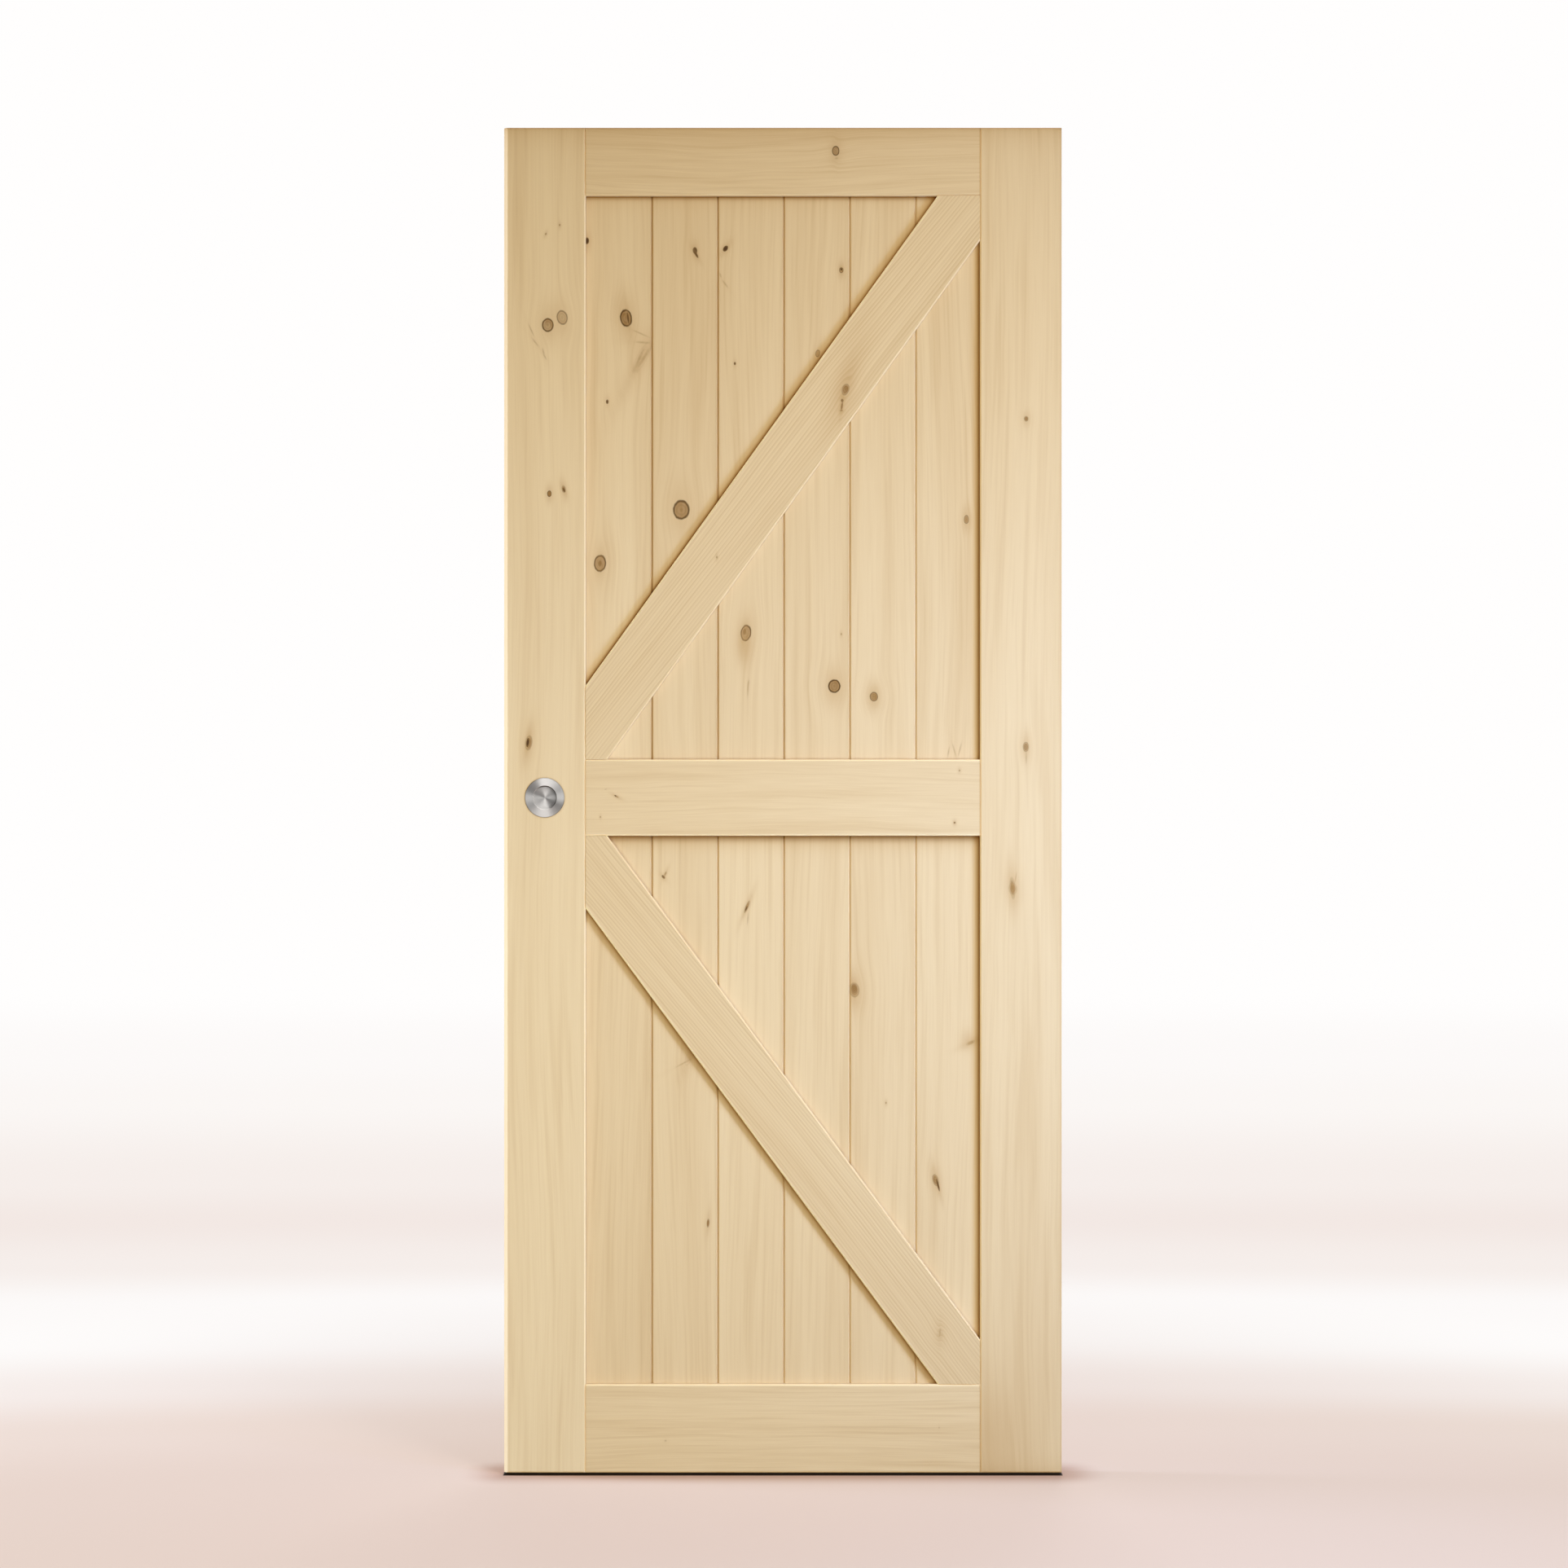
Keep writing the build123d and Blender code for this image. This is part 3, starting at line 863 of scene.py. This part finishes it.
def floor_material():
    """Pale matt floor with a soft glow of its own, clearing to white away from the leaf."""
    material, graph, shader = new_material("floor")
    shader.inputs["Roughness"].default_value = 0.5
    shader.inputs["Specular IOR Level"].default_value = 0.03
    place = graph.add("ShaderNodeTexCoord").outputs["Object"]
    from_glow = graph.vector("MULTIPLY", graph.vector("SUBTRACT", place, GLOW_PLACE), GLOW_STRETCH)
    reach = FLOOR_TINTS[-1][0]
    tints = [(distance / reach, color) for distance, color in FLOOR_TINTS]
    tint = graph.stops(graph.math("DIVIDE", graph.vector("LENGTH", from_glow), reach), tints, "EASE")
    glow = graph.add("ShaderNodeEmission")
    graph.feed(glow.inputs["Color"], tint)

    # Painted shadow: dark where the leaf stands and shaded just before it, and without glow close to it
    x, y, _ = graph.split(place)
    beyond_x = graph.math("MAXIMUM", graph.math("SUBTRACT", graph.math("ABSOLUTE", x), leaf_high.x), 0.0)
    beyond_y = graph.math("MAXIMUM", graph.math("SUBTRACT", graph.math("ABSOLUTE", y), leaf_high.y), 0.0)
    from_leaf = graph.vector("LENGTH", graph.join(beyond_x, beyond_y, 0.0))
    contact_shadow = graph.mix(graph.ramp(from_leaf, 0.0, CONTACT_SHADOW_REACH), CONTACT_SHADOW, NEAR_FLOOR_SHADOW)
    color = graph.mix(graph.ramp(from_leaf, 0.0, NEAR_FLOOR_SHADOW_REACH), contact_shadow, FLOOR_COLOR)
    graph.feed(shader.inputs["Base Color"], color)
    from_middle = graph.vector("LENGTH", graph.join(x, y, 0.0))
    share = graph.ramp(from_middle, FLOOR_LIT, FLOOR_CLEAR, GLOW_LEAST, 1.0)
    blend = graph.add("ShaderNodeMixShader")
    graph.feed(blend.inputs[0], graph.math("MULTIPLY", share, graph.ramp(from_leaf, *GLOW_REACH)))
    graph.feed(blend.inputs[1], shader.outputs[0])
    graph.feed(blend.inputs[2], glow.outputs[0])
    graph.feed(graph.tree.nodes["Material Output"].inputs["Surface"], blend.outputs[0])
    return material


def white_material():
    material, graph, _ = new_material("white_surroundings")
    glow = graph.add("ShaderNodeEmission")
    glow.inputs["Color"].default_value = WHITE
    graph.feed(graph.tree.nodes["Material Output"].inputs["Surface"], glow.outputs[0])
    return material


def circle(shape, radius):
    """Points of a circle on the floor."""
    steps = 96
    turns = [2 * math.pi * step / steps for step in range(steps)]
    return [shape.verts.new((radius * math.cos(turn), radius * math.sin(turn), 0)) for turn in turns]


def disc(shape):
    shape.faces.new(circle(shape, FLOOR_CLEAR))


def outer_ring(shape):
    rim = circle(shape, FLOOR_END)
    hole = circle(shape, FLOOR_CLEAR)
    for step in range(len(rim)):
        shape.faces.new((hole[step - 1], rim[step - 1], rim[step], hole[step]))


def shell(shape):
    bmesh.ops.create_uvsphere(shape, u_segments=48, v_segments=24, radius=SURROUND_RADIUS)


def only_seen(piece):
    """Surroundings that the camera sees and that give no light to the leaf."""
    piece.visible_diffuse = False
    piece.visible_glossy = False
    piece.visible_transmission = False
    piece.visible_shadow = False


floor_finish = floor_material()
floor = add_object("floor", disc)
far_floor = add_object("far_floor", outer_ring)
surround = add_object("surround", shell)
for piece in (floor, far_floor):
    piece.location = (0, 0, leaf_low.z - FLOOR_GAP)
    piece.data.materials.append(floor_finish)
surround.data.materials.append(white_material())
only_seen(far_floor)
only_seen(surround)
floor.visible_diffuse = False


# Light
def soft_light(name, place, aim, width, height, power, color=(1, 1, 1), spread=180):
    """A soft box; spread is the angle of its beam in degrees."""
    light = bpy.data.lights.new(name, "AREA")
    light.shape = "RECTANGLE"
    light.size = width
    light.size_y = height
    light.energy = power
    light.color = color
    light.spread = math.radians(spread)
    lamp = bpy.data.objects.new(name, light)
    lamp.location = place
    lamp.rotation_euler = (Vector(aim) - Vector(place)).to_track_quat("-Z", "Y").to_euler()
    lamp.visible_camera = False
    lamp.visible_glossy = False
    bpy.context.scene.collection.objects.link(lamp)


middle = (leaf_low.z + leaf_high.z) / 2
soft_light("key", (1.5, -2.4, middle + 2.3), (0.1, 0, middle - 0.55), 1.0, 1.0, 5.5, spread=60)
soft_light("pool", (1.7, -1.25, middle - 0.05), (0.4, 0, middle - 0.1), 0.6, 0.6, 31.5, (0.37, 0.575, 1))
soft_light("left", (-0.8, -3.0, middle - 0.8), (-0.15, 0, middle - 0.45), 1.2, 1.6, 34, (0.93, 1, 0.84))
soft_light("back", (0.5, 2.6, middle + 1.9), (0, 0, middle - 0.1), 1.4, 1.0, 30, (0.9, 0.95, 1))
soft_light("rim", (-3.0, 0.35, middle), (leaf_low.x, 0, middle), 0.6, 2.6, 110, (0.59, 0.717, 1))


def studio_world():
    """A warm even light, and for mirror-like metal a room of lit and dark walls round the view."""
    world = bpy.data.worlds.new("studio")
    world.use_nodes = True
    graph = Graph(world.node_tree)
    even = graph.tree.nodes["Background"]
    even.inputs["Color"].default_value = EVEN_LIGHT
    even.inputs["Strength"].default_value = EVEN_STRENGTH
    x, _, z = graph.split(graph.add("ShaderNodeTexCoord").outputs["Generated"])
    turn = graph.math("MULTIPLY_ADD", graph.math("ARCTAN2", x, z), 0.5 / math.pi, 0.5)
    walls = graph.stops(turn, [(at, (level, level, level, 1)) for at, level in ROOM], "EASE")
    off_axis = graph.vector("LENGTH", graph.join(x, z, 0.0))
    room = graph.add("ShaderNodeBackground")
    room.inputs["Color"].default_value = ROOM_TINT
    graph.feed(room.inputs["Strength"], graph.mix(graph.ramp(off_axis, *ROOM_SPAN), ROOM_MIDDLE, walls))
    choose = graph.add("ShaderNodeMixShader")
    graph.feed(choose.inputs[0], graph.add("ShaderNodeLightPath").outputs["Is Glossy Ray"])
    graph.feed(choose.inputs[1], even.outputs[0])
    graph.feed(choose.inputs[2], room.outputs[0])
    graph.feed(graph.tree.nodes["World Output"].inputs["Surface"], choose.outputs[0])
    return world


bpy.context.scene.world = studio_world()
bpy.context.scene.view_settings.view_transform = "Standard"

# Camera square to the leaf, framed as the photograph
frame_width = FRAME_PIXELS * PIXEL
aim_x, aim_z = row_point(FRAME_PIXELS / 2, FRAME_PIXELS / 2)
lens = bpy.data.cameras.new("camera")
lens.sensor_width = SENSOR_WIDTH
lens.lens = SENSOR_WIDTH * CAMERA_DISTANCE / frame_width
lens.clip_end = VIEW_END
camera = bpy.data.objects.new("camera", lens)
camera.location = (aim_x, leaf_low.y - CAMERA_DISTANCE, aim_z)
camera.rotation_euler = (math.pi / 2, 0, 0)
bpy.context.scene.collection.objects.link(camera)
bpy.context.scene.camera = camera
